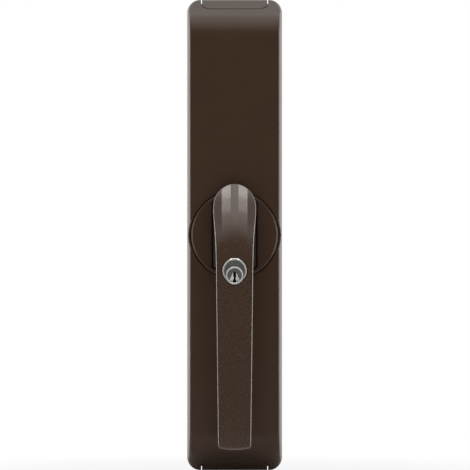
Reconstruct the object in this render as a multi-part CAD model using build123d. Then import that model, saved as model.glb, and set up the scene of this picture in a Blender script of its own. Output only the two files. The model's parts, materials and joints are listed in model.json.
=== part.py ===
from build123d import *
from math import acos, asin, ceil, cos, pi, radians, sin, sqrt, tan
import os

# Locking window handle with a rack drive for two bolt rods.
# The pieces are drawn as seen from the front: x to the right, y up, z out of the sash.
# Lengths are in millimetres and angles in degrees.

# Case cover
case_width = 54.0
case_length = 268.0
case_depth = 32.0
case_corner_r = 7.5
case_draft = 3.0
case_wall = 2.2
front_edge_r = 1.6
end_wall_depth = 8.0
ramp_angle = 60.0
ramp_blend_r = 14.0
rebate_wall = 1.2
collar_wall = 1.2
collar_bevel = 0.35
collar_depth = 6.0
collar_notch_depth = 0.7
collar_notch_height = 1.4

# End plugs
plug_tab_width = 37.0
plug_tab_height = 17.9
plug_tab_r = 5.0
plug_groove = 0.6
plug_lip = 1.8
plug_lip_wall = 1.6
seat_gap = 0.1

# Base plate and bearing bridge
plate_thickness = 2.5
plate_gap = 0.15
bridge_sheet = 2.5
bridge_room = 8.0
bridge_guide_gap = 0.15
bridge_half_length = 30.0
bridge_window = 24.0
bridge_tab_y = 22.0
bridge_tab_length = 9.0

# Fixing screws
fixing_pitch = 43.0
fixing_screw_r = 2.5
fixing_shoulder_r = 3.0
fixing_head_r = 4.4
fixing_head_height = 3.0
fixing_reach = 38.0
fixing_hole_gap = 0.25
drive_recess_r = 1.6
drive_recess_depth = 1.6

# Spindle, neck and bearing
spindle_size = 7.0
spindle_chamfer = 0.6
spindle_reach = 32.0
spindle_seat = 20.0
neck_r = 8.0
neck_room = 0.85
neck_spigot = 3.0
run_gap = 0.05
bush_wall = 1.15
bush_flange_r = 10.0
bush_flange_thickness = 1.0
washer_thickness = 1.0
washer_r = 10.0
spring_washer_thickness = 0.5
ring_thickness = 1.2
ring_groove_depth = 0.8
ring_r = 10.6
ring_mouth = 9.0
cross_pin_r = 1.5
flange_r = 22.4
flange_thickness = 2.0
flange_screw_x = 8.5
flange_screw_y = 9.5
flange_screw_r = 2.0
flange_screw_head_r = 3.4
flange_screw_length = 9.0

# Rosette disc
disc_r = 24.5
disc_gap = 0.45
disc_proud = 1.2
disc_bevel_width = 0.9
disc_bevel_height = 0.9
disc_face = 2.2
disc_skirt_gap = 0.25
disc_slot_wall = 1.5
disc_ledge = 1.0
disc_ledge_gap = 0.3
foot_gap = 1.4

# Rack drive
gear_module = 1.0
pinion_teeth = 16
pressure_angle = 20.0
gear_backlash = 0.12
pinion_width = 5.6
rack_addendum = 0.85
gear_dedendum = 1.25
rack_back = 14.0
rack_thickness = 5.0
rack_end_room = 18.0
handle_range = 180.0
guide_wall = 2.3
guide_lip = 3.0
guide_lip_thickness = 1.5
guide_half_length = 28.0
lug_y = 20.0
lug_length = 6.0
lug_width = 1.6
coupler_length = 27.0
coupler_depth = 11.5
coupler_half_width = 7.0
coupler_tab_thickness = 3.5
rod_r = 4.0
rod_bore_depth = 20.0
tenon_width = 3.0
tenon_length = 7.0
tenon_inset = 6.5
rod_screw_r = 2.2

# Lever
grip_rise = 38.0
grip_thickness = 12.0
grip_end_y = -119.7
grip_end_half = 9.1
grip_end_bow = 1.1
grip_start_y = -35.0
grip_start_half = 10.1
hub_waist_y = 3.0
hub_waist_half = 11.2
hub_half_width = 12.0
hub_widest_y = 15.5
hub_top_y = 28.8
shoulder_start_y = -28.0
shoulder_r = 101.0
crown_start_y = 0.0
crown_r = 64.0
crown_mid_y = 17.0
hub_lift = 2.0
heel_y = -33.4
heel_lean = 1.2
heel_r = 8.0
grip_root_r = 7.0
crown_flat = 2.2
crown_drop = 0.9
bevel_start = 7.2
bevel_drop = 3.4
grip_edge_r = 1.0
grip_corner_r = 1.6
half_circle = 180.0
foot_width = 23.2
foot_end_r = 21.2

# Lock cylinder
housing_y = -19.9
housing_r = 7.0
housing_sink = 0.8
housing_length = 17.2
housing_rim = 0.6
housing_bevel = 0.35
housing_recess = 0.7
housing_lip = 0.5
lock_y = -22.5
plug_r = 4.4
plug_head_r = 4.9
plug_head_height = 1.6
plug_proud = 0.4
plug_face_r = 4.4
plug_face_recess = 0.5
plug_head_bevel = 0.25
mouth_top = 1.4
mouth_top_half = 1.0
mouth_bottom = -2.9
mouth_bottom_half = 3.0
mouth_depth = 0.9
mouth_slope = 40.0
keyway_width = 1.7
keyway_top = 2.0
keyway_bottom = -4.0
keyway_depth = 16.0
chamber_r = 1.1
chamber_gap = 0.04
chamber_pitch = 4.2
chamber_count = 3
chamber_first = 4.4
driver_length = 1.9
chamber_roof = 1.1
pin_spring_wire = 0.3
pin_spring_turns = 2.5
housing_pin_r = 0.75
housing_pin_y = -14.0
housing_pin_inset = 1.1
pocket_gap = 0.3
clip_thickness = 0.9
clip_groove_depth = 0.7
clip_r = 5.6

# Lock bolt and its cam
bolt_y = -12.5
bolt_r = 2.0
bolt_travel = 5.0
bolt_tip_inset = 0.95
bolt_hole_gap = 0.25
bolt_slide_gap = 0.05
cam_r = 4.3
cam_reach = 7.5
cam_turn = 90.0
nub_offset = 4.0
nub_r = 0.8
nub_height = 2.4
cam_gap = 0.5
arm_half_width = 2.0
arm_thickness = 2.5
arm_end = 0.9
bolt_collar_r = 2.9
bolt_tail = 2.5
spring_wire = 0.5
spring_r = 2.5
spring_turns = 6.0
coil_bends = 10
bolt_pocket_half = 3.3
cavity_gap = 0.6

# Sizes that follow from those above
guide_back = rack_back + run_gap + guide_wall
bridge_half_width = guide_back + bridge_guide_gap + bridge_sheet
rack_top = case_length / 2 - rack_end_room
disc_hole_r = disc_r + disc_gap
collar_r = disc_hole_r + collar_wall
bridge_front = case_depth - bridge_room
hub_back = case_depth + hub_lift
grip_front = case_depth + grip_rise
flange_back = bridge_front + washer_thickness + run_gap
flange_front = flange_back + flange_thickness
pinion_front = plate_thickness + seat_gap + pinion_width
neck_end = pinion_front + neck_room
bush_back = bridge_front - bridge_sheet
ring_front = bush_back - bush_flange_thickness - spring_washer_thickness - run_gap
ring_back = ring_front - ring_thickness
pitch_r = gear_module * pinion_teeth / 2
tooth_pitch = pi * gear_module
rack_travel = pitch_r * radians(handle_range)
rack_back_face = plate_thickness + run_gap
rack_front_face = rack_back_face + rack_thickness
housing_front = grip_front - housing_sink
housing_back = housing_front - housing_length
nub_y = lock_y + nub_offset
cam_slope = bolt_travel / (2 * nub_offset * sin(radians(cam_turn / 2)))
cam_middle = housing_back - cam_reach
nub_top = cam_middle + bolt_travel / 2 - cam_gap
arm_front = nub_top - nub_height
arm_back = arm_front - arm_thickness
bolt_tip = flange_back + bolt_tip_inset
fixing_ys = (fixing_pitch / 2, -fixing_pitch / 2)


def rod(x, y, radius, low, high):
    """Cylinder along z between two depths."""
    column = Cylinder(radius, high - low, align=(Align.CENTER, Align.CENTER, Align.MIN))
    return Pos(x, y, low) * column


def block(x_limits, y_limits, z_limits):
    """Box between limits on the three axes."""
    sizes = [limits[1] - limits[0] for limits in (x_limits, y_limits, z_limits)]
    middle = [(limits[0] + limits[1]) / 2 for limits in (x_limits, y_limits, z_limits)]
    return Pos(*middle) * Box(*sizes)


def slab(outline, low, high):
    """Flat outline made solid between two depths."""
    return extrude(Pos(0, 0, low) * outline, high - low)


def cross_rod(y, z, radius, half_length):
    """Cylinder along x, centred on the middle plane."""
    return Pos(0, y, z) * Rot(0, 90, 0) * Cylinder(radius, 2 * half_length)


def half_turn(piece):
    """The same piece turned half a turn about the spindle axis."""
    return Rot(0, 0, 180) * piece


def group(pieces):
    """Separate like pieces that share one node."""
    return Compound([solid for piece in pieces for solid in piece.solids()])


# Case

def case_block(inset):
    """Tapered block of the case with ramped ends, shrunk by the inset on every face but the back."""
    slope = radians(ramp_angle)
    depth = case_depth - inset
    end_y = case_length / 2 - inset
    ramp_y = case_length / 2 - inset * sin(slope)
    ramp_z = end_wall_depth - inset * cos(slope)
    foot_z = ramp_z - (end_y - ramp_y) * tan(slope)
    head_y = ramp_y - (depth - ramp_z) / tan(slope)
    plan = RectangleRounded(case_width - 2 * inset, 2 * end_y, case_corner_r - inset)
    body = extrude(plan, depth, taper=case_draft)
    side = Polygon(
        (-end_y, 0), (end_y, 0), (end_y, foot_z), (head_y, depth), (-head_y, depth), (-end_y, foot_z),
        align=None,
    )
    side = fillet(side.vertices().group_by(Axis.Y)[-1], ramp_blend_r - inset)
    return body & extrude(Plane.YZ * side, case_width, both=True)


def case_form():
    """The case's outer form: the block with a rounded front rim."""
    body = case_block(0)
    rim = []
    for edge in body.edges():
        low = edge.bounding_box().min.Z
        across = edge.bounding_box().size.Y < 0.01 and edge.bounding_box().size.Z < 0.01
        if low > end_wall_depth / 2 and not (across and low > end_wall_depth + 1):
            rim.append(edge)
    return fillet(rim, front_edge_r)


def tab_form(extra_width, extra_height):
    """Prism of the rod passage at the upper end, seen along y."""
    height = plug_tab_height + extra_height
    tab = Pos(0, height / 2) * Rectangle(plug_tab_width + 2 * extra_width, height)
    tab = fillet(tab.vertices().group_by(Axis.Y)[-1], plug_tab_r + extra_width)
    start = case_length / 2 - case_depth
    return extrude(Plane.XZ.offset(-start) * tab, -2 * case_depth)


def plate_outline(gap):
    """Outline of the base plate, grown inwards from the cover's rebate by a gap."""
    inset = rebate_wall + gap
    return RectangleRounded(case_width - 2 * inset, case_length - 2 * inset, case_corner_r - inset)


def make_cover():
    shell = case_form() - case_block(case_wall)
    bevel_middle = case_depth - collar_bevel / 2
    collar = rod(0, 0, collar_r, case_depth - collar_depth, case_depth - collar_bevel)
    collar = collar + Pos(0, 0, bevel_middle) * Cone(collar_r, collar_r - collar_bevel, collar_bevel)
    shell = shell + collar
    shell = shell - rod(0, 0, disc_hole_r, case_depth - collar_depth - case_wall, case_depth + 1)
    shell = shell - Pos(0, 0, bevel_middle) * Cone(disc_hole_r, disc_hole_r + collar_bevel, collar_bevel)
    shell = shell - slab(plate_outline(0), 0, plate_thickness)
    passage = tab_form(plug_groove, plug_groove)
    shell = shell - passage - half_turn(passage)
    wide = (collar_r - collar_notch_depth, collar_r + 1)
    tall = (-collar_notch_height / 2, collar_notch_height / 2)
    deep = (case_depth - collar_notch_height, case_depth + 1)
    notch = block(wide, tall, deep)
    return shell - notch - half_turn(notch)


def make_end_plug():
    """Plug flush with the upper end, with a lip behind the cover's wall."""
    lip_inset = case_wall + seat_gap
    hollow = case_block(lip_inset + plug_lip_wall)
    tab = (case_form() - hollow) & tab_form(0, 0)
    lip = case_block(lip_inset) - hollow
    lip = lip & tab_form(plug_groove + plug_lip, plug_groove + plug_lip)
    start = case_length / 2 - case_depth
    clear = (plate_thickness + seat_gap, case_depth)
    lip = lip & block((-case_width, case_width), (start, case_length), clear)
    return tab + lip


def make_base_plate():
    plate = slab(plate_outline(plate_gap), 0, plate_thickness)
    plate = plate - rod(0, 0, spindle_size, -1, plate_thickness + 1)
    for y in fixing_ys:
        plate = plate - rod(0, y, fixing_shoulder_r, -1, plate_thickness + 1)
    for tab in bridge_tabs():
        plate = plate - tab
    for lug in guide_lugs(run_gap):
        plate = plate - lug - half_turn(lug)
    lip_depth = case_wall + plug_lip_wall + 4 * seat_gap
    half = plug_tab_width / 2 + plug_groove
    ends = (case_length / 2 - lip_depth, case_length / 2)
    notch = block((-half, half), ends, (-1, plate_thickness + 1))
    return plate - notch - half_turn(notch)


def bridge_tabs():
    """Tabs of the bridge's side walls that are staked in slots of the base plate."""
    half = bridge_tab_length / 2
    inner = bridge_half_width - bridge_sheet
    right = [
        block((inner, bridge_half_width), (y - half, y + half), (0, plate_thickness))
        for y in (bridge_tab_y, -bridge_tab_y)
    ]
    return right + [half_turn(tab) for tab in right]


def make_bearing_bridge():
    """Bridge of folded sheet that carries the neck."""
    half = bridge_half_width
    inner = half - bridge_sheet
    floor = plate_thickness
    height = bridge_front - floor
    outside = Pos(0, floor + height / 2) * Rectangle(2 * half, height)
    outside = fillet(outside.vertices().group_by(Axis.Y)[-1], bridge_sheet)
    tunnel = height - bridge_sheet
    inside = Pos(0, floor + tunnel / 2) * Rectangle(2 * inner, tunnel)
    hat = extrude(Plane.XZ * (outside - inside), bridge_half_length, both=True)
    for tab in bridge_tabs():
        hat = hat + tab
    hat = hat - rod(0, 0, neck_r + run_gap + bush_wall, bush_back - 1, bridge_front + 1)
    for y in (bolt_y, -bolt_y):
        hat = hat - rod(0, y, bolt_r + bolt_hole_gap, bush_back - 1, bridge_front + 1)
    for y in fixing_ys:
        hat = hat - rod(0, y, fixing_head_r + fixing_hole_gap, bush_back - 1, bridge_front + 1)
    window_y = (-bridge_window / 2, bridge_window / 2)
    window_z = (floor + bridge_sheet, bush_back - bridge_sheet)
    return hat - block((-half - 1, half + 1), window_y, window_z)


def make_fixing_screw():
    """Hexagon screw with a shoulder that fills its hole in the base plate."""
    screw = rod(0, 0, fixing_screw_r, -fixing_reach, 0)
    screw = screw + rod(0, 0, fixing_shoulder_r, 0, plate_thickness)
    head = slab(RegularPolygon(fixing_head_r, 6), plate_thickness, plate_thickness + fixing_head_height)
    return screw + head


def make_fixing_screws():
    return group(Pos(0, y, 0) * make_fixing_screw() for y in fixing_ys)


def guide_lugs(gap):
    """Lugs under the right guide that snap into slots of the base plate."""
    middle = guide_back - guide_wall / 2
    across = (middle - lug_width / 2 - gap, middle + lug_width / 2 + gap)
    half = lug_length / 2 + gap
    return [block(across, (y - half, y + half), (0, plate_thickness)) for y in (lug_y, -lug_y)]


def make_rack_guide():
    """Right guide: a wall behind the rack with a lip over its front."""
    wall = rack_back + run_gap
    lip = rack_front_face + run_gap
    section = Polygon(
        (wall, plate_thickness), (guide_back, plate_thickness),
        (guide_back, lip + guide_lip_thickness), (wall - guide_lip, lip + guide_lip_thickness),
        (wall - guide_lip, lip), (wall, lip),
        align=None,
    )
    guide = extrude(Plane.XZ * section, guide_half_length, both=True)
    for lug in guide_lugs(0):
        guide = guide + lug
    return guide


# Bearing and spindle

def make_neck_bush():
    inner = neck_r + run_gap
    tube = rod(0, 0, inner + bush_wall, bush_back, bridge_front)
    tube = tube + rod(0, 0, bush_flange_r, bush_back - bush_flange_thickness, bush_back)
    return tube - rod(0, 0, inner, 0, case_depth)


def ring(outer, inner, low, high):
    """Flat ring between two depths."""
    return rod(0, 0, outer, low, high) - rod(0, 0, inner, low - 1, high + 1)


def make_thrust_washer():
    return ring(washer_r, neck_r + 2 * run_gap, bridge_front, bridge_front + washer_thickness)


def make_spring_washer():
    return ring(washer_r, neck_r + 2 * run_gap, ring_front, ring_front + spring_washer_thickness)


def make_retaining_ring():
    """Open snap ring in the neck's groove."""
    clip = ring(ring_r, neck_r - ring_groove_depth, ring_back, ring_front)
    mouth = (-ring_mouth / 2, ring_mouth / 2)
    return clip - block(mouth, (-ring_r - 1, 0), (ring_back - 1, ring_front + 1))


def square_bar(size, low, high):
    bar = slab(Rectangle(size, size), low, high)
    return chamfer(bar.edges().filter_by(Axis.Z), spindle_chamfer)


def make_spindle():
    bar = square_bar(spindle_size, -spindle_reach, neck_end + spindle_seat)
    return bar - cross_rod(0, spindle_pin_z, cross_pin_r, spindle_size)


spindle_pin_z = (neck_end + ring_back) / 2


def make_spindle_pin():
    return cross_rod(0, spindle_pin_z, cross_pin_r, neck_r)


def flange_screw_places():
    return [(side * flange_screw_x, side * flange_screw_y) for side in (-1, 1)]


def make_bearing_flange():
    """Turned flange and neck with a square socket for the spindle."""
    piece = rod(0, 0, flange_r, flange_back, flange_front)
    piece = piece + rod(0, 0, neck_r, neck_end, flange_front + neck_spigot)
    piece = piece - ring(ring_r, neck_r - ring_groove_depth, ring_back - run_gap, ring_front + run_gap)
    piece = piece - square_bar(spindle_size + run_gap, neck_end - 1, neck_end + spindle_seat)
    piece = piece - cross_rod(0, spindle_pin_z, cross_pin_r, neck_r + 1)
    piece = piece - rod(0, bolt_y, bolt_r + bolt_slide_gap, flange_back - 1, flange_front + 1)
    # Notches let the fixing screws be reached when the lever is level.
    reach = fixing_head_r + fixing_hole_gap
    notch = block((fixing_pitch / 2 - reach, flange_r), (-reach, reach), (flange_back - 1, flange_front + 1))
    piece = piece - notch - half_turn(notch)
    for x, y in flange_screw_places():
        piece = piece - countersunk(x, y)
    return piece


def countersunk(x, y):
    """Countersunk screw body with its head flush in the back of the flange."""
    depth = flange_screw_head_r - flange_screw_r
    head = Pos(x, y, flange_back + depth / 2) * Cone(flange_screw_head_r, flange_screw_r, depth)
    return head + rod(x, y, flange_screw_r, flange_back, flange_back + flange_screw_length)


def make_flange_screws():
    recess_top = flange_back + drive_recess_depth
    screws = []
    for x, y in flange_screw_places():
        recess = Pos(x, y, 0) * slab(RegularPolygon(drive_recess_r, 6), flange_back, recess_top)
        screws.append(countersunk(x, y) - recess)
    return group(screws)


def foot_outline(gap):
    """Bar across the disc with ends that follow the rim."""
    end_r = foot_end_r + gap
    return Rectangle(foot_width + 2 * gap, 2 * end_r) & Circle(end_r)


def make_rosette_disc():
    """Cap with a bevelled rim, a stepped slot round the foot and a skirt round the flange."""
    front = case_depth + disc_proud
    back = case_depth - collar_depth
    bevel_back = front - disc_bevel_height
    cap = rod(0, 0, disc_r, back, bevel_back)
    rim = Pos(0, 0, bevel_back + disc_bevel_height / 2) * Cone(
        disc_r, disc_r - disc_bevel_width, disc_bevel_height
    )
    cap = cap + rim
    cap = cap - rod(0, 0, flange_r + disc_skirt_gap, back - 1, front - disc_face)
    cap = cap + slab(foot_outline(foot_gap + disc_slot_wall), flange_front, front - disc_face)
    cap = cap - slab(foot_outline(foot_gap), flange_front + disc_ledge, front + 1)
    return cap - slab(foot_outline(disc_ledge_gap), back - 1, front + 1)


# Rack drive

def involute(angle):
    return tan(angle) - angle


def make_pinion():
    """Involute pinion with a tooth gap facing each rack."""
    base_r = pitch_r * cos(radians(pressure_angle))
    tip_r = pitch_r + gear_module
    root_r = pitch_r - gear_dedendum * gear_module
    half_pitch = pi / (2 * pinion_teeth) - gear_backlash / (2 * pitch_r)
    reach = half_pitch + involute(radians(pressure_angle))
    radii = (base_r, (base_r + pitch_r) / 2, pitch_r, tip_r)
    flank = []
    for radius in radii:
        angle = reach - involute(acos(base_r / radius))
        flank.append((radius * cos(angle), radius * sin(angle)))
    other = [(x, -y) for x, y in flank]
    sunk = (root_r * 0.9, root_r * 0.9 * tan(reach))
    tooth = Polygon((sunk[0], -sunk[1]), *other, *reversed(flank), sunk, align=None)
    step = 360 / pinion_teeth
    outline = Circle(root_r)
    for count in range(pinion_teeth):
        outline = outline + Rot(0, 0, step * (count + 0.5)) * tooth
    gear = slab(outline, plate_thickness + seat_gap, pinion_front)
    return gear - square_bar(spindle_size + run_gap, 0, case_depth)


def make_rack():
    """Right rack: its teeth face the pinion, and its bar runs up to the rod coupler."""
    tip = pitch_r - rack_addendum * gear_module
    root = pitch_r + gear_dedendum * gear_module
    half = tooth_pitch / 4 - gear_backlash / 2
    lean = tan(radians(pressure_angle))
    tip_half = half - (pitch_r - tip) * lean
    root_half = half + (root - pitch_r) * lean
    below = 2
    above = ceil(rack_travel / tooth_pitch) + 2
    low = -(below + 0.5) * tooth_pitch
    outline = Pos((root + rack_back) / 2, (low + rack_top) / 2) * Rectangle(rack_back - root, rack_top - low)
    for count in range(-below, above + 1):
        y = count * tooth_pitch
        tooth = Polygon(
            (tip, y - tip_half), (root + 1, y - root_half), (root + 1, y + root_half), (tip, y + tip_half),
            align=None,
        )
        outline = outline + tooth
    bar = slab(outline, rack_back_face, rack_front_face)
    for tenon in rack_tenons():
        bar = bar + tenon
    return bar


def rack_tenons():
    """Tenons of the rack that are staked in the coupler's tab."""
    x = (coupler_half_width + rack_back) / 2
    across = (x - tenon_width / 2, x + tenon_width / 2)
    deep = (rack_front_face, rack_front_face + coupler_tab_thickness)
    half = tenon_length / 2
    places = (rack_top - coupler_length + tenon_inset, rack_top - tenon_inset)
    return [block(across, (y - half, y + half), deep) for y in places]


rod_screw_y = rack_top - rod_bore_depth / 2
rod_z = rack_front_face + coupler_depth / 2


def make_coupler():
    """Socket block for the rod, with a tab that the rack's tenons are staked in."""
    ends = (rack_top - coupler_length, rack_top)
    front = rack_front_face + coupler_depth
    body = block((-coupler_half_width, coupler_half_width), ends, (rack_front_face, front))
    body = chamfer(body.edges().filter_by(Axis.Y).group_by(Axis.Z)[-1], coupler_tab_thickness / 2)
    tab_front = rack_front_face + coupler_tab_thickness
    body = body + block((0, rack_back), ends, (rack_front_face, tab_front))
    socket = Cylinder(rod_r, rod_bore_depth, align=(Align.CENTER, Align.CENTER, Align.MIN))
    body = body - Pos(0, rack_top, rod_z) * Rot(90, 0, 0) * socket
    body = body - rod(0, rod_screw_y, rod_screw_r, rod_z, front + 1)
    for tenon in rack_tenons():
        body = body - tenon
    return body


def make_rod_screw():
    """Grub screw that will clamp the rod."""
    front = rack_front_face + coupler_depth
    low = rod_z + rod_r - coupler_tab_thickness / 2
    grub = rod(0, rod_screw_y, rod_screw_r, low, front)
    recess = slab(RegularPolygon(rod_screw_r / 2, 6), front - drive_recess_depth, front)
    return grub - Pos(0, rod_screw_y, 0) * recess


# Lever

def front_point(y, drop):
    """Point of the lever's front line, lowered square to it."""
    if y <= shoulder_start_y:
        return (y, grip_front - drop)
    if y <= crown_start_y:
        centre = (shoulder_start_y, grip_front - shoulder_r)
        radius = shoulder_r
    else:
        start_tilt = asin((crown_start_y - shoulder_start_y) / shoulder_r)
        start_z = grip_front - shoulder_r * (1 - cos(start_tilt))
        centre = (crown_start_y - crown_r * sin(start_tilt), start_z - crown_r * cos(start_tilt))
        radius = crown_r
    tilt = asin((y - centre[0]) / radius)
    return (centre[0] + (radius - drop) * sin(tilt), centre[1] + (radius - drop) * cos(tilt))


def side_profile(drop):
    """Side silhouette of the lever; the drop bevels its crown."""
    past_top = hub_top_y + 1
    past_end = grip_end_y - 1
    grip_back = grip_front - grip_thickness
    shoulder_mid = (shoulder_start_y + crown_start_y) / 2
    stations = [
        (shoulder_start_y, 0), (shoulder_mid, drop / 12), (crown_start_y, drop / 2),
        (crown_mid_y, drop), (past_top, drop),
    ]
    points = [front_point(y, lowering) for y, lowering in stations]
    tilt = asin((past_top - crown_centre_y()) / crown_r)
    front = Spline(points, tangents=[(1, 0), (cos(tilt), -sin(tilt))])
    back_top = (past_top, hub_back)
    back_end = (past_end, grip_back)
    heel = (heel_y, hub_back)
    root = (heel_y - heel_lean, grip_back)
    back = FilletPolyline(back_top, heel, root, back_end, radius=(heel_r, grip_root_r))
    end = Polyline(back_end, (past_end, grip_front), points[0])
    return make_face(front + Line(points[-1], back_top) + back + end)


def crown_centre_y():
    start_tilt = asin((crown_start_y - shoulder_start_y) / shoulder_r)
    return crown_start_y - crown_r * sin(start_tilt)


def plan_outline():
    """Lever outline seen from the front."""
    corner = (grip_end_half, grip_end_y + grip_end_bow)
    start = (grip_start_half, grip_start_y)
    lean = (start[0] - corner[0], start[1] - corner[1])
    waist = Spline(
        [start, (hub_waist_half, hub_waist_y), (hub_half_width, hub_widest_y)], tangents=[lean, (0, 1)]
    )
    right = Line(corner, start) + waist
    rise = hub_top_y - hub_widest_y
    crown = EllipticalCenterArc((0, hub_widest_y), hub_half_width, rise, arc_size=half_circle)
    end = ThreePointArc((-corner[0], corner[1]), (0, grip_end_y), corner)
    outline = make_face(right + crown + mirror(right, Plane.YZ) + end)
    corners = outline.vertices().group_by(Axis.Y)[0]
    return fillet(corners, grip_corner_r)


def lever_form():
    """Lever body: side silhouettes joined across its width, trimmed to the outline."""
    width = hub_half_width + 1
    stations = [(crown_flat, 0), (bevel_start, crown_drop), (width, bevel_drop)]
    right = [(x, side_profile(drop)) for x, drop in stations]
    left = [(-x, face) for x, face in reversed(right)]
    body = loft([Plane.YZ.offset(x) * face for x, face in left + right], ruled=True)
    body = body & slab(plan_outline(), 0, 2 * grip_front)
    # Only the rim edges run both across and along the lever.
    rim = []
    for edge in body.edges():
        size = edge.bounding_box().size
        if min(size.X, size.Y) > 0.01:
            rim.append(edge)
    return fillet(rim, grip_edge_r)


def make_handle():
    lever = lever_form()
    lever = lever + slab(foot_outline(0), flange_front, hub_back + run_gap)
    lever = lever - rod(0, 0, neck_r + run_gap, 0, flange_front + neck_spigot)
    for x, y in flange_screw_places():
        lever = lever - countersunk(x, y)
    lever = lever - slab(pear_outline(pocket_gap), housing_back, 2 * grip_front)
    lever = lever - rod(0, lock_y, clip_r + pocket_gap, cam_low() - cavity_gap, housing_back + 1)
    bolt_room = (bolt_y - bolt_pocket_half, bolt_y + bolt_pocket_half)
    across = (-bolt_pocket_half, bolt_pocket_half)
    lever = lever - block(across, bolt_room, (0, arm_front + bolt_tail + cavity_gap))
    slot = (-arm_half_width - bolt_slide_gap, arm_half_width + bolt_slide_gap)
    slot_z = (arm_back - bolt_travel - cavity_gap, nub_top + cavity_gap)
    lever = lever - block(slot, (nub_y - arm_end - cavity_gap, bolt_y), slot_z)
    return lever - cross_rod(housing_pin_y, housing_pin_z, housing_pin_r, case_width)


# Lock cylinder

housing_pin_z = housing_back + housing_pin_inset


def cam_low():
    return cam_middle - cam_slope * cam_r


def pear_outline(gap):
    """Two round forms that overlap: the pin tower above and the plug below."""
    tower = Pos(0, housing_y) * Circle(housing_r + gap)
    return tower + Pos(0, lock_y) * Circle(plug_head_r + housing_lip + gap)


def chamber_depths():
    return [housing_back + chamber_first + count * chamber_pitch for count in range(chamber_count)]


def upright(radius, low, high, z):
    """Cylinder along y at one pin chamber."""
    column = Cylinder(radius, high - low, align=(Align.CENTER, Align.CENTER, Align.MAX))
    return Pos(0, low, z) * Rot(90, 0, 0) * column


def chamber_top():
    return housing_y + housing_r - chamber_roof


def make_lock_housing():
    bevel_back = housing_front - housing_bevel
    body = slab(pear_outline(0), housing_back, bevel_back)
    edges = [Pos(0, 0, bevel_back) * pear_outline(0), Pos(0, 0, housing_front) * pear_outline(-housing_bevel)]
    body = body + loft(edges, ruled=True)
    dish_r = housing_r - housing_rim
    dish = Cone(dish_r - housing_recess, dish_r, housing_recess)
    body = body - Pos(0, housing_y, housing_front - housing_recess / 2) * dish
    body = body - rod(0, lock_y, plug_r + run_gap, housing_back - 1, housing_front + 1)
    head_seat = housing_front + plug_proud - plug_head_height - run_gap
    body = body - rod(0, lock_y, plug_head_r + run_gap, head_seat, housing_front + 1)
    for z in chamber_depths():
        body = body - upright(chamber_r + chamber_gap, lock_y, chamber_top(), z)
    return body - cross_rod(housing_pin_y, housing_pin_z, housing_pin_r, case_width)


def make_housing_pin():
    return cross_rod(housing_pin_y, housing_pin_z, housing_pin_r, grip_start_half - pocket_gap)


def keyway_outline():
    """Stepped key slot, seen from the front."""
    half = keyway_width / 2
    step = half / 2
    low = lock_y + keyway_bottom
    high = lock_y + keyway_top
    ward = (high - low) / 4
    return Polygon(
        (-half, low), (half, low), (half, low + ward), (half - step, low + 1.5 * ward),
        (half, low + 2 * ward), (half, high), (-step, high), (-half, high - ward),
        (-half + step, low + 1.5 * ward), (-half, low + ward),
        align=None,
    )


def make_lock_plug():
    """Plug with its key slot and, on its tail, the oblique cam."""
    front = housing_front + plug_proud
    head_back = front - plug_head_height
    face = front - plug_face_recess
    head = Polygon(
        (0, head_back), (plug_head_r, head_back), (plug_head_r, front - plug_head_bevel),
        (plug_head_r - plug_head_bevel, front), (plug_face_r, front),
        (plug_face_r - plug_face_recess, face), (0, face),
        align=None,
    )
    body = rod(0, lock_y, plug_r, housing_back - clip_thickness, head_back)
    body = body + Pos(0, lock_y, 0) * revolve(Plane.XZ * head, Axis.Z)
    body = body + cam_tail()
    groove = rod(0, lock_y, 2 * plug_r, housing_back - clip_thickness - run_gap, housing_back - run_gap)
    groove = groove - rod(0, lock_y, plug_r - clip_groove_depth, 0, grip_front)
    body = body - groove
    body = body - slab(keyway_outline(), front - keyway_depth, front + 1)
    mouth = Polygon(
        (-mouth_bottom_half, mouth_bottom), (mouth_bottom_half, mouth_bottom),
        (mouth_top_half, mouth_top), (-mouth_top_half, mouth_top),
        align=None,
    )
    body = body - extrude(Pos(0, lock_y, face) * mouth, -mouth_depth, taper=mouth_slope)
    for z in chamber_depths():
        body = body - upright(chamber_r + chamber_gap, lock_y, lock_y + 2 * plug_r, z)
    return body


def cam_tail():
    """Round tail cut off at a slant, so that a quarter turn drives the bolt."""
    tail = rod(0, lock_y, cam_r, cam_low() - 1, housing_back - clip_thickness)
    turn = radians(cam_turn / 2)
    normal = (-cam_slope * sin(turn), -cam_slope * cos(turn), 1)
    slant = Plane(origin=(0, lock_y, cam_middle), z_dir=normal)
    return split(tail, bisect_by=slant, keep=Keep.TOP)


def pin_seat():
    """Height of the shear line for flat-ended pins."""
    return lock_y + sqrt(plug_r ** 2 - chamber_r ** 2) - chamber_gap


def make_key_pins():
    return group(upright(chamber_r, lock_y + keyway_top, pin_seat(), z) for z in chamber_depths())


def driver_low():
    return lock_y + plug_r + run_gap


def make_driver_pins():
    low = driver_low()
    return group(upright(chamber_r, low, low + driver_length, z) for z in chamber_depths())


def coil(radius, wire, turns, length):
    """Compression spring of square wire standing on the origin, bent in short lengths."""
    bends = round(turns * coil_bends)
    points = []
    for count in range(bends + 1):
        angle = 2 * pi * count / coil_bends
        points.append((radius * cos(angle), radius * sin(angle), length * count / bends))
    path = Polyline(points)
    start = Plane(origin=path @ 0, x_dir=(1, 0, 0), z_dir=path % 0)
    return sweep(start * Rectangle(wire, wire), path, transition=Transition.RIGHT)


def make_pin_springs():
    low = driver_low() + driver_length + pin_spring_wire / 2
    length = chamber_top() - pin_spring_wire / 2 - low
    radius = chamber_r - pin_spring_wire
    spring = Rot(-90, 0, 0) * coil(radius, pin_spring_wire, pin_spring_turns, length)
    return group(Pos(0, low, z) * spring for z in chamber_depths())


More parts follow.
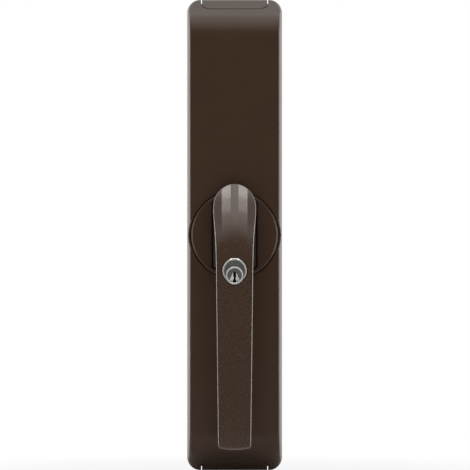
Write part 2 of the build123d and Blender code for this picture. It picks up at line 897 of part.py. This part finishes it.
def make_plug_clip():
    """Open clip that keeps the plug in its housing."""
    low = housing_back - clip_thickness
    clip = rod(0, lock_y, clip_r, low, housing_back - run_gap)
    clip = clip - rod(0, lock_y, plug_r - clip_groove_depth, low - 1, housing_back + 1)
    mouth = block((-plug_r / 2, plug_r / 2), (lock_y - clip_r - 1, lock_y), (low - 1, housing_back + 1))
    return clip - mouth


# Lock bolt

def make_lock_bolt():
    """Bolt with the side arm and nub that the plug's cam pushes."""
    bolt = rod(0, bolt_y, bolt_r, bolt_tip, arm_front + bolt_tail)
    bolt = bolt + rod(0, bolt_y, bolt_collar_r, arm_back, arm_front)
    bolt = bolt + block(
        (-arm_half_width, arm_half_width), (nub_y - arm_end, bolt_y), (arm_back, arm_front)
    )
    nub = Pos(0, nub_y, arm_front + nub_height / 2) * Cone(nub_r, nub_r / 2, nub_height)
    bolt = bolt + nub
    tip = bolt.edges().filter_by(GeomType.CIRCLE).sort_by(Axis.Z)[0]
    return chamfer(tip, bolt_r / 4)


def make_bolt_spring():
    low = flange_front + spring_wire / 2
    length = arm_back - spring_wire / 2 - low
    return Pos(0, bolt_y, low) * coil(spring_r, spring_wire, spring_turns, length)


pieces = {
    "cover": make_cover(),
    "upper_end_plug": make_end_plug(),
    "lower_end_plug": half_turn(make_end_plug()),
    "base_plate": make_base_plate(),
    "bearing_bridge": make_bearing_bridge(),
    "right_rack_guide": make_rack_guide(),
    "left_rack_guide": half_turn(make_rack_guide()),
    "fixing_screws": make_fixing_screws(),
    "neck_bush": make_neck_bush(),
    "thrust_washer": make_thrust_washer(),
    "spring_washer": make_spring_washer(),
    "retaining_ring": make_retaining_ring(),
    "bearing_flange": make_bearing_flange(),
    "flange_screws": make_flange_screws(),
    "spindle": make_spindle(),
    "spindle_pin": make_spindle_pin(),
    "drive_pinion": make_pinion(),
    "rosette_disc": make_rosette_disc(),
    "handle": make_handle(),
    "lock_housing": make_lock_housing(),
    "housing_pin": make_housing_pin(),
    "driver_pins": make_driver_pins(),
    "pin_springs": make_pin_springs(),
    "lock_plug": make_lock_plug(),
    "key_pins": make_key_pins(),
    "plug_clip": make_plug_clip(),
    "lock_bolt": make_lock_bolt(),
    "bolt_spring": make_bolt_spring(),
    "upper_rack": make_rack(),
    "upper_rod_coupler": make_coupler(),
    "upper_rod_screw": make_rod_screw(),
    "lower_rack": half_turn(make_rack()),
    "lower_rod_coupler": half_turn(make_coupler()),
    "lower_rod_screw": half_turn(make_rod_screw()),
}

# The front view is stood upright: the sash face lies in the plane of x and z.
os.makedirs("parts", exist_ok=True)
for name, piece in pieces.items():
    standing = group(Plane.XZ * solid for solid in piece.solids())
    export_step(standing, os.path.join("parts", name + ".step"))
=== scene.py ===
import json
import math

import bpy
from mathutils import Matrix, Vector


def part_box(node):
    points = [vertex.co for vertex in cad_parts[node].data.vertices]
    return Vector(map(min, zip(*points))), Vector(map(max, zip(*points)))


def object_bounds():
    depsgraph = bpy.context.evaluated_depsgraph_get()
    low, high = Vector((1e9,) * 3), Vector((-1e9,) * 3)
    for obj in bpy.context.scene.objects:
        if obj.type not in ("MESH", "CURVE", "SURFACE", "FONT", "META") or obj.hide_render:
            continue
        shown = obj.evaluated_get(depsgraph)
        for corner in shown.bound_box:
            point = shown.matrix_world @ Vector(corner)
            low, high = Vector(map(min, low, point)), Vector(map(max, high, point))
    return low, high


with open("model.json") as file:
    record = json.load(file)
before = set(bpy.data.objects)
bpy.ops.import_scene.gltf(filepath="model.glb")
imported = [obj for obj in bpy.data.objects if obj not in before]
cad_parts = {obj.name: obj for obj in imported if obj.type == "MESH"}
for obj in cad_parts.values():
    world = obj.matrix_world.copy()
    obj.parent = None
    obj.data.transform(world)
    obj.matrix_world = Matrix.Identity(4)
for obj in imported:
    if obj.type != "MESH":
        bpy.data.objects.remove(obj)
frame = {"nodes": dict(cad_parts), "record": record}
cad_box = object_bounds()

# View: a square picture of this many pixels, with the spindle axis at this pixel; metres elsewhere
IMAGE_SIZE = 470.0
AXIS_PIXEL = (234.6, 235.0)
FRAME_WIDTH = 0.265
CASE_FRONT_Y = -0.032
CAMERA_DISTANCE = 3.0
CAMERA_REACH = 50.0
SENSOR_WIDTH = 36.0

# Colours, linear
WHITE = (1.0, 1.0, 1.0)
CASE_BROWN = (0.040, 0.0182, 0.0070)
CASE_DARK = (0.036, 0.0160, 0.0060)
COAT_BROWN = (0.043, 0.0200, 0.0082)
FLAKE_BROWN = (0.078, 0.048, 0.031)
NICKEL = (0.66, 0.65, 0.62)
# Painted shade: near-black for the deep parts of the lock plug, such as the keyway
PLUG_RECESS_SHADE = (0.003, 0.003, 0.003)
ZINC = (0.38, 0.39, 0.41)
SPRING_STEEL = (0.32, 0.32, 0.34)
BRASS = (0.62, 0.42, 0.16)
ACETAL = (0.78, 0.77, 0.72)
FLOOR_PALE = (0.88, 0.88, 0.88)
FLOOR_DUSTY = (0.84, 0.84, 0.84)


def opaque(colour):
    """Colour with full alpha."""
    return tuple(colour) + (1.0,)


def shade(colour, share):
    """Colour at a share of its strength."""
    return tuple(share * value for value in colour)


class NodeTree:
    """Small helper for wiring a procedural material."""

    def __init__(self, name):
        self.material = bpy.data.materials.new(name)
        self.material.use_nodes = True
        self.tree = self.material.node_tree
        self.shader = self.tree.nodes["Principled BSDF"]

    def add(self, kind, **settings):
        node = self.tree.nodes.new(kind)
        for key, value in settings.items():
            setattr(node, key, value)
        return node

    def link(self, source, target):
        self.tree.links.new(source, target)

    def set(self, name, value):
        self.shader.inputs[name].default_value = value

    def feed(self, name, source):
        self.link(source, self.shader.inputs[name])

    def noise(self, scale, detail=2.0, roughness=0.5, stretch=(1.0, 1.0, 1.0)):
        place = self.add("ShaderNodeTexCoord")
        mapping = self.add("ShaderNodeMapping")
        mapping.inputs["Scale"].default_value = stretch
        self.link(place.outputs["Object"], mapping.inputs["Vector"])
        noise = self.add("ShaderNodeTexNoise")
        noise.inputs["Scale"].default_value = scale
        noise.inputs["Detail"].default_value = detail
        noise.inputs["Roughness"].default_value = roughness
        self.link(mapping.outputs["Vector"], noise.inputs["Vector"])
        return noise.outputs["Fac"]

    def cells(self, scale):
        place = self.add("ShaderNodeTexCoord")
        cells = self.add("ShaderNodeTexVoronoi")
        cells.inputs["Scale"].default_value = scale
        self.link(place.outputs["Object"], cells.inputs["Vector"])
        return cells

    def ramp(self, source, stops):
        """Colours between stops, each a position and a colour."""
        ramp = self.add("ShaderNodeValToRGB")
        elements = ramp.color_ramp.elements
        while len(elements) < len(stops):
            elements.new(0.5)
        for element, (position, colour) in zip(elements, stops):
            element.position = position
            element.color = opaque(colour)
        self.link(source, ramp.inputs["Fac"])
        return ramp.outputs["Color"]

    def span(self, source, low, high):
        """Source from 0 to 1 spread between two levels."""
        span = self.add("ShaderNodeMapRange")
        span.inputs["To Min"].default_value = low
        span.inputs["To Max"].default_value = high
        self.link(source, span.inputs["Value"])
        return span.outputs["Result"]

    def bump(self, height, strength, distance):
        bump = self.add("ShaderNodeBump")
        bump.inputs["Strength"].default_value = strength
        bump.inputs["Distance"].default_value = distance
        self.link(height, bump.inputs["Height"])
        return bump.outputs["Normal"]


def moulded_plastic(name, colour, dark):
    """Satin moulding with a fine spark-eroded grain and a faint flow mottle."""
    look = NodeTree(name)
    mottle = look.noise(scale=55.0, detail=4.0, roughness=0.6)
    look.feed("Base Color", look.ramp(mottle, [(0.3, dark), (0.7, colour)]))
    grain = look.noise(scale=2600.0)
    look.feed("Roughness", look.span(grain, low=0.38, high=0.50))
    look.feed("Normal", look.bump(grain, strength=0.25, distance=0.00005))
    look.set("Specular IOR Level", 0.4)
    return look.material


def metallic_coat(name):
    """Brown powder coat with fine metal flakes under a satin film."""
    look = NodeTree(name)
    flakes = look.cells(scale=3600.0)
    sparkle = look.add("ShaderNodeSeparateColor")
    look.link(flakes.outputs["Color"], sparkle.inputs["Color"])
    stops = [(0.0, COAT_BROWN), (0.72, COAT_BROWN), (1.0, FLAKE_BROWN)]
    look.feed("Base Color", look.ramp(sparkle.outputs["Red"], stops))
    look.feed("Roughness", look.span(sparkle.outputs["Green"], low=0.20, high=0.30))
    peel = look.noise(scale=900.0, stretch=(0.35, 1.0, 1.3))
    look.feed("Normal", look.bump(peel, strength=0.18, distance=0.00006))
    look.set("Metallic", 0.25)
    look.set("Coat Weight", 1.0)
    look.set("Coat Roughness", 0.16)
    return look.material


def worked_metal(name, colour, rough):
    """Metal with fine working marks and small stains."""
    look = NodeTree(name)
    stain = look.noise(scale=420.0, detail=5.0, roughness=0.65)
    dull = shade(colour, 0.82)
    look.feed("Base Color", look.ramp(stain, [(0.3, dull), (0.65, colour)]))
    marks = look.noise(scale=700.0, detail=3.0)
    look.feed("Roughness", look.span(marks, low=rough - 0.07, high=rough + 0.09))
    look.feed("Normal", look.bump(marks, strength=0.15, distance=0.00004))
    look.set("Metallic", 1.0)
    return look.material


# The lock's finish follows the depth behind its front, as a share of this many metres: deeper nickel is
# darkened as painted shade, and the front rims are brightened as a painted highlight
LOCK_DEPTH = 0.003


def lock_metal(name, node, tones, metal):
    """Nickel whose colour and metal share change with depth behind the front of the node, darkening
    deeper surfaces as painted shade and brightening the front by a lower metal share as a painted
    highlight.
    """
    look = NodeTree(name)
    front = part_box(node)[0].y
    place = look.add("ShaderNodeTexCoord")
    split = look.add("ShaderNodeSeparateXYZ")
    look.link(place.outputs["Object"], split.inputs["Vector"])
    depth = look.add("ShaderNodeMapRange")
    depth.inputs["From Min"].default_value = front
    depth.inputs["From Max"].default_value = front + LOCK_DEPTH
    look.link(split.outputs["Y"], depth.inputs["Value"])
    tone = look.ramp(depth.outputs["Result"], tones)
    stain = look.ramp(look.noise(scale=900.0, detail=3.0), [(0.3, shade(WHITE, 0.8)), (0.6, WHITE)])
    mixed = look.add("ShaderNodeMix", data_type="RGBA", blend_type="MULTIPLY")
    mixed.inputs["Factor"].default_value = 1.0
    look.link(tone, mixed.inputs["A"])
    look.link(stain, mixed.inputs["B"])
    look.feed("Base Color", mixed.outputs["Result"])
    look.feed("Metallic", look.ramp(depth.outputs["Result"], metal))
    marks = look.noise(scale=1800.0)
    look.feed("Roughness", look.span(marks, low=0.14, high=0.24))
    look.feed("Normal", look.bump(marks, strength=0.05, distance=0.00002))
    return look.material


def natural_acetal(name):
    """Slippery white bearing plastic."""
    look = NodeTree(name)
    cloud = look.noise(scale=90.0, detail=3.0)
    look.feed("Base Color", look.ramp(cloud, [(0.35, shade(ACETAL, 0.92)), (0.7, ACETAL)]))
    look.feed("Roughness", look.span(cloud, low=0.28, high=0.40))
    return look.material


slot_looks = {
    "case_plastic": moulded_plastic("case_plastic_look", CASE_BROWN, CASE_DARK),
    "lever_coat": metallic_coat("lever_coat_look"),
    "zinc_steel": worked_metal("zinc_steel_look", ZINC, rough=0.34),
    "spring_steel": worked_metal("spring_steel_look", SPRING_STEEL, rough=0.30),
    "brass": worked_metal("brass_look", BRASS, rough=0.28),
    "guide_plastic": natural_acetal("guide_plastic_look"),
}

# Metal share of the lock's nickel: lower at the front rims and in the keyway mouth, where the paler
# diffuse nickel stands in for a painted highlight, and full elsewhere
RIM_HIGHLIGHT_SHARE = shade(WHITE, 0.45)
BRUSHED = shade(WHITE, 0.9)
MOUTH_HIGHLIGHT_SHARE = shade(WHITE, 0.35)
# Painted shade: the plug's nickel turns near-black with depth, so the keyway and other deep parts look
# shadowed
PLUG_TONES = [(0.0, NICKEL), (0.5, NICKEL), (0.62, PLUG_RECESS_SHADE)]
# Painted highlight: the plug's front rim and keyway mouth take a lower metal share, so they show
# brighter
PLUG_METAL = [
    (0.0, RIM_HIGHLIGHT_SHARE), (0.06, RIM_HIGHLIGHT_SHARE), (0.11, WHITE), (0.18, WHITE),
    (0.21, MOUTH_HIGHLIGHT_SHARE), (0.5, MOUTH_HIGHLIGHT_SHARE), (0.62, WHITE),
]
# Painted shade: the housing's nickel darkens to half with depth, shading its dished face
HOUSING_TONES = [(0.0, NICKEL), (0.12, NICKEL), (0.24, shade(NICKEL, 0.5))]
# Painted highlight: the housing's front rim takes a lower metal share, so it shows brighter
HOUSING_METAL = [(0.0, RIM_HIGHLIGHT_SHARE), (0.02, RIM_HIGHLIGHT_SHARE), (0.06, BRUSHED), (0.24, BRUSHED)]
lock_looks = {
    "lock_plug": lock_metal("lock_plug_look", "lock_plug", PLUG_TONES, PLUG_METAL),
    "lock_housing": lock_metal("lock_housing_look", "lock_housing", HOUSING_TONES, HOUSING_METAL),
}

# The two nickel pieces of the lock have their own looks, and the others take that of their slot
slot_of = {row["node"]: row["material_slot"] for row in frame["record"]["subparts"]}
for node, solid in frame["nodes"].items():
    look = lock_looks[node] if node in lock_looks else slot_looks[slot_of[node]]
    solid.data.materials.clear()
    solid.data.materials.append(look)

# Camera: a long lens square to the front
camera = bpy.data.cameras.new("camera")
camera.sensor_width = SENSOR_WIDTH
camera.sensor_fit = "HORIZONTAL"
camera.lens = SENSOR_WIDTH * CAMERA_DISTANCE / FRAME_WIDTH
camera.shift_x = (IMAGE_SIZE / 2 - AXIS_PIXEL[0]) / IMAGE_SIZE
camera.shift_y = (AXIS_PIXEL[1] - IMAGE_SIZE / 2) / IMAGE_SIZE
camera.clip_end = CAMERA_REACH
viewpoint = bpy.data.objects.new("camera", camera)
viewpoint.location = (0.0, CASE_FRONT_Y - CAMERA_DISTANCE, 0.0)
viewpoint.rotation_euler = (math.radians(90.0), 0.0, 0.0)
bpy.context.scene.collection.objects.link(viewpoint)
bpy.context.scene.camera = viewpoint

# Floor: pale, with the object's soft shadow near its middle, and plain white to the camera farther out
FLOOR_HALF = 0.27
FLOOR_DROP = 0.0005
SHADOW_REACH = 0.25
SHADOW_START = SHADOW_REACH / 3
SHADOW_SHARE = 0.3


def pale_floor(name):
    look = NodeTree(name)
    dust = look.noise(scale=3.0, detail=3.0)
    look.feed("Base Color", look.ramp(dust, [(0.3, FLOOR_DUSTY), (0.7, FLOOR_PALE)]))
    look.set("Roughness", 0.9)
    look.set("Specular IOR Level", 0.1)
    glow = look.add("ShaderNodeEmission")
    glow.inputs["Color"].default_value = opaque(WHITE)
    path = look.add("ShaderNodeLightPath")
    place = look.add("ShaderNodeTexCoord")
    reach = look.add("ShaderNodeVectorMath", operation="LENGTH")
    look.link(place.outputs["Object"], reach.inputs[0])
    near = look.add("ShaderNodeMapRange", interpolation_type="SMOOTHSTEP")
    near.inputs["From Min"].default_value = SHADOW_START
    near.inputs["From Max"].default_value = SHADOW_REACH
    near.inputs["To Min"].default_value = 1.0 - SHADOW_SHARE
    look.link(reach.outputs["Value"], near.inputs["Value"])
    shown = look.add("ShaderNodeMath", operation="MULTIPLY")
    look.link(path.outputs["Is Camera Ray"], shown.inputs[0])
    look.link(near.outputs["Result"], shown.inputs[1])
    mix = look.add("ShaderNodeMixShader")
    look.link(shown.outputs["Value"], mix.inputs["Fac"])
    look.link(look.shader.outputs["BSDF"], mix.inputs[1])
    look.link(glow.outputs["Emission"], mix.inputs[2])
    look.link(mix.outputs["Shader"], look.tree.nodes["Material Output"].inputs["Surface"])
    return look.material


floor_mesh = bpy.data.meshes.new("floor")
floor_corners = [(-1, -1), (1, -1), (1, 1), (-1, 1)]
floor_points = [(FLOOR_HALF * x, FLOOR_HALF * y, 0.0) for x, y in floor_corners]
floor_mesh.from_pydata(floor_points, [], [range(len(floor_points))])
floor_mesh.materials.append(pale_floor("pale_floor"))
floor = bpy.data.objects.new("floor", floor_mesh)
floor.location.z = cad_box[0][2] - FLOOR_DROP
bpy.context.scene.collection.objects.link(floor)


def softbox(name, place, target, size, power, in_sheen, in_shading):
    """Soft rectangular lamp aimed at a point; it shows in reflections, lights the surface, or both."""
    lamp = bpy.data.lights.new(name, "AREA")
    lamp.shape = "RECTANGLE"
    lamp.size, lamp.size_y = size
    lamp.energy = power
    stand = bpy.data.objects.new(name, lamp)
    stand.location = place
    aim = Vector(target) - Vector(place)
    stand.rotation_euler = aim.to_track_quat("-Z", "Y").to_euler()
    stand.visible_glossy = in_sheen
    stand.visible_diffuse = in_shading
    bpy.context.scene.collection.objects.link(stand)


def lamp_pair(name, place, target, size, powers, in_sheen=True, in_shading=True):
    """The same lamp on the left and on the right, with a power for each."""
    across, depth, height = place
    for side, sign, power in zip(("left", "right"), (-1, 1), powers):
        spot = (sign * across, depth, height)
        softbox(name + "_" + side, spot, target, size, power, in_sheen, in_shading)


# Lamps: two pairs overhead for the bands on the hub, one for the edges, one for even light in front
lamp_pair("top", (0.34, -0.05, 1.1), (0.0, -0.05, 0.02), (0.5, 0.2), (1.0, 1.0))
lamp_pair("fore", (0.39, -0.5, 1.1), (0.0, -0.5, 0.02), (0.42, 0.2), (0.42, 0.42))
lamp_pair("side", (1.37, 0.26, -0.1), (0.0, -0.04, -0.05), (0.36, 1.2), (6.5, 8.5), in_shading=False)
lamp_pair("front", (0.4, -2.2, -0.35), (0.0, -0.03, -0.06), (0.5, 1.2), (10.0, 10.0), in_sheen=False)

# White studio: bright above and behind the object, dim in front of it and to the front sides
GLOW_AXIS = (0.0, 0.6, 0.8)
GLOW_LIMITS = (-0.15, 0.3)
GLOW_RANGE = (0.12, 1.4)
SIDE_LIMITS = (0.15, 0.6)
SIDE_SHARE = 0.3
BACK_LIMITS = (-0.1, 0.15)
FILL = 0.78
world = bpy.data.worlds.new("studio")
world.use_nodes = True
sky = world.node_tree
background = sky.nodes["Background"]
background.inputs["Color"].default_value = opaque(WHITE)


def sky_step(source, limits, levels):
    """Smooth change between two levels as the source crosses its limits."""
    step = sky.nodes.new("ShaderNodeMapRange")
    step.interpolation_type = "SMOOTHSTEP"
    step.inputs["From Min"].default_value = limits[0]
    step.inputs["From Max"].default_value = limits[1]
    step.inputs["To Min"].default_value = levels[0]
    step.inputs["To Max"].default_value = levels[1]
    sky.links.new(source, step.inputs["Value"])
    return step.outputs["Result"]


def sky_math(operation, *sources):
    """One arithmetic step between sources."""
    node = sky.nodes.new("ShaderNodeMath")
    node.operation = operation
    for place, source in enumerate(sources):
        sky.links.new(source, node.inputs[place])
    return node.outputs["Value"]


direction = sky.nodes.new("ShaderNodeTexCoord")
lift = sky.nodes.new("ShaderNodeVectorMath")
lift.operation = "DOT_PRODUCT"
lift.inputs[1].default_value = GLOW_AXIS
sky.links.new(direction.outputs["Generated"], lift.inputs[0])
split = sky.nodes.new("ShaderNodeSeparateXYZ")
sky.links.new(direction.outputs["Generated"], split.inputs["Vector"])
sideways = sky_math("ABSOLUTE", split.outputs["X"])
above = sky_step(lift.outputs["Value"], GLOW_LIMITS, GLOW_RANGE)
flank = sky_step(sideways, SIDE_LIMITS, (1.0, SIDE_SHARE))
rear = sky_step(split.outputs["Y"], BACK_LIMITS, (0.0, 1.0))
glow = sky_math("MULTIPLY", above, sky_math("MAXIMUM", flank, rear))

# Reflections see the glow, the camera sees white, and other light gets the even fill
path = sky.nodes.new("ShaderNodeLightPath")
reflected = sky_math("MAXIMUM", path.outputs["Is Glossy Ray"], path.outputs["Is Transmission Ray"])
level = sky.nodes.new("ShaderNodeMix")
level.inputs["A"].default_value = FILL
sky.links.new(reflected, level.inputs["Factor"])
sky.links.new(glow, level.inputs["B"])
shown = sky.nodes.new("ShaderNodeMix")
shown.inputs["B"].default_value = 1.0
sky.links.new(path.outputs["Is Camera Ray"], shown.inputs["Factor"])
sky.links.new(level.outputs["Result"], shown.inputs["A"])
sky.links.new(shown.outputs["Result"], background.inputs["Strength"])
bpy.context.scene.world = world
bpy.context.scene.view_settings.view_transform = "Standard"
